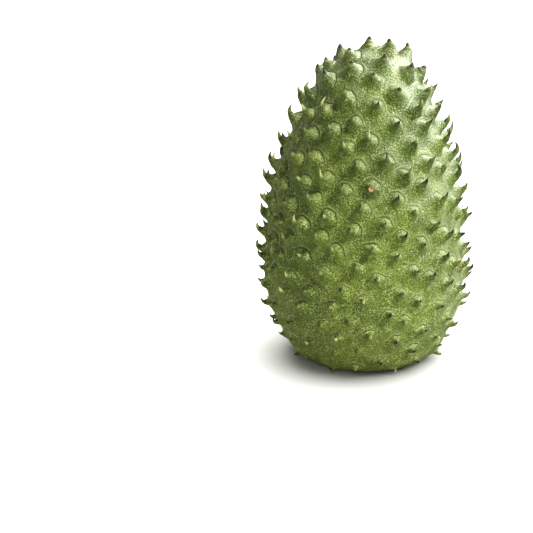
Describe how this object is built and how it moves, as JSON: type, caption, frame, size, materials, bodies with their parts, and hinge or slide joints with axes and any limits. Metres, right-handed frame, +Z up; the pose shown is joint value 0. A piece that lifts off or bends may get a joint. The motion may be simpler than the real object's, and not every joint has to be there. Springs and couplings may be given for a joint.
{
  "type": "soursop",
  "caption": "Whole green soursop with a leathery skin of soft curved spines, standing upright on its blunt stem end, narrow tip up.",
  "frame": {"origin": "under the middle of the fruit, on the surface that it stands on", "axes": "+Z up, from the blunt stem end to the narrow tip; -Y is the side seen in the front view, +X to its right"},
  "size_m": [0.1384, 0.1366, 0.2078],
  "materials": {
    "skin": "leathery green fruit skin with fine pale specks, a soft sheen and brown-tipped soft spines"
  },
  "bodies": {
    "root": {"soursop": "skin"}
  },
  "joints": []
}
